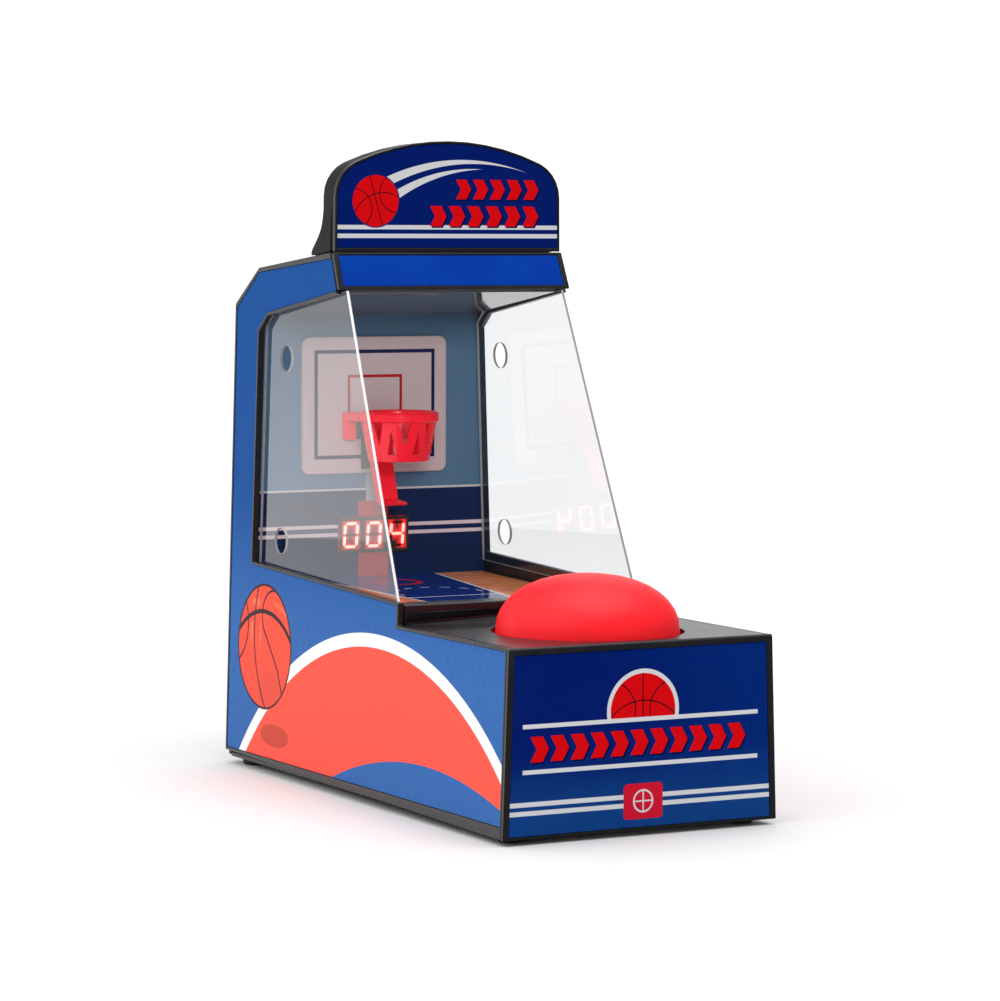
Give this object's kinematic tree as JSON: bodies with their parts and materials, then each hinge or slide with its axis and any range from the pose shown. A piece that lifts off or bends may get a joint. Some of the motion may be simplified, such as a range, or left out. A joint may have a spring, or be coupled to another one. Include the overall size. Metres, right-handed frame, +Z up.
{
  "type": "desktop basketball hoop machine",
  "caption": "Desktop basketball game: a tapered cabinet with a clear play chamber, a hoop over a tilting score lever, a digital score display, an arched marquee and a big domed launch button",
  "frame": {"origin": "middle of the footprint, on the surface that the feet stand on", "axes": "+Z up, +X to the player's right, -Y towards the player"},
  "size_m": [0.0848, 0.1784, 0.1871],
  "materials": {
    "black_plastic": "satin injection-moulded black plastic with a fine grain",
    "grey_plastic": "satin dark grey moulded plastic",
    "side_print": "glossy printed film: blue field, white ring and coral disc",
    "front_print": "glossy printed film: navy with white stripes",
    "hood_print": "glossy printed film, plain blue",
    "marquee_print": "glossy printed film: navy with a ball and swoosh",
    "court_print": "glossy printed film: blue court lines and wooden key",
    "rear_print": "glossy printed film: blue hall with seating stripes",
    "backboard_print": "pale board with navy and red line frames",
    "clear_plastic": "clear polished polystyrene",
    "red_plastic": "glossy red moulded plastic",
    "button_red": "satin red moulded plastic",
    "steel": "zinc-plated steel",
    "rubber_feet": "matt grey rubber",
    "ball_orange": "orange plastic with moulded seams",
    "circuit_board": "green solder mask",
    "speaker_black": "black cone and frame",
    "cell_casing": "plain wrapped cell",
    "wire_red": "PVC insulation",
    "knob_white": "white slide knob"
  },
  "bodies": {
    "root": {"left_wall": "black_plastic", "right_wall": "black_plastic", "left_label": "side_print", "right_label": "side_print", "front_housing": "black_plastic", "front_label": "front_print", "roof_cover": "black_plastic", "hood_panel": "black_plastic", "hood_label": "hood_print", "back_cover": "black_plastic", "back_screw_1": "steel", "back_screw_2": "steel", "back_screw_3": "steel", "back_screw_4": "steel", "base_plate": "black_plastic", "foot_front_left": "rubber_feet", "foot_front_right": "rubber_feet", "foot_rear_left": "rubber_feet", "foot_rear_right": "rubber_feet", "marquee_shell": "grey_plastic", "marquee_plate": "black_plastic", "marquee_label": "marquee_print", "front_shield": "clear_plastic", "left_window": "clear_plastic", "right_window": "clear_plastic", "court_floor": "court_print", "rear_wall": "rear_print", "backboard": "backboard_print", "ceiling_panel": "rear_print", "hoop": "red_plastic", "lever_pin": "steel", "lever_bracket": "black_plastic", "lever_spring": "steel", "score_switch": "black_plastic", "display_module": "grey_plastic", "display_board": "circuit_board", "spring_seat": "black_plastic", "button_spring": "steel", "kicker_pin": "steel", "kicker_bracket": "black_plastic", "battery_box": "black_plastic", "battery_1": "cell_casing", "battery_2": "cell_casing", "battery_3": "cell_casing", "switch_body": "steel", "main_board": "circuit_board", "speaker": "speaker_black", "speaker_lead": "wire_red", "battery_lead": "wire_red", "display_lead": "wire_red"},
    "button": {"thump_button": "button_red"},
    "kicker_arm": {"kicker": "black_plastic"},
    "game_ball": {"ball": "ball_orange"},
    "lever": {"score_lever": "red_plastic"},
    "door": {"battery_door": "black_plastic", "door_screw": "steel"},
    "knob": {"switch_knob": "knob_white"}
  },
  "joints": [
    {"name": "button_press", "type": "slide", "parent": "root", "child": "button", "axis": [0, 0, -1], "range_m": [0, 0.0045], "stiffness_N_per_m": 450, "springref_m": -0.0012, "deforming": ["button_spring"]},
    {"name": "kicker_swing", "type": "hinge", "parent": "root", "child": "kicker_arm", "pos_m": [0, -0.02725, 0.0345], "axis": [1, 0, 0], "range_deg": [0, 12]},
    {"name": "ball_flight", "type": "slide", "parent": "root", "child": "game_ball", "axis": [0, 0.2588, 0.9659], "range_m": [0, 0.05]},
    {"name": "score_lever_tilt", "type": "hinge", "parent": "root", "child": "lever", "pos_m": [0, 0.07535, 0.103], "axis": [1, 0, 0], "range_deg": [0, 8], "stiffness_Nm_per_rad": 0.004, "springref_deg": -3.44, "deforming": ["lever_spring"]},
    {"name": "battery_door_hinge", "type": "hinge", "parent": "root", "child": "door", "pos_m": [0, 0.08845, 0.0089], "axis": [-1, 0, 0], "range_deg": [0, 90]},
    {"name": "switch_slide", "type": "slide", "parent": "root", "child": "knob", "axis": [1, 0, 0], "range_m": [0, 0.0056]}
  ],
  "couplings": [
    {"joint": "kicker_swing", "follows": "button_press", "rad_per_m": 46.5}
  ]
}
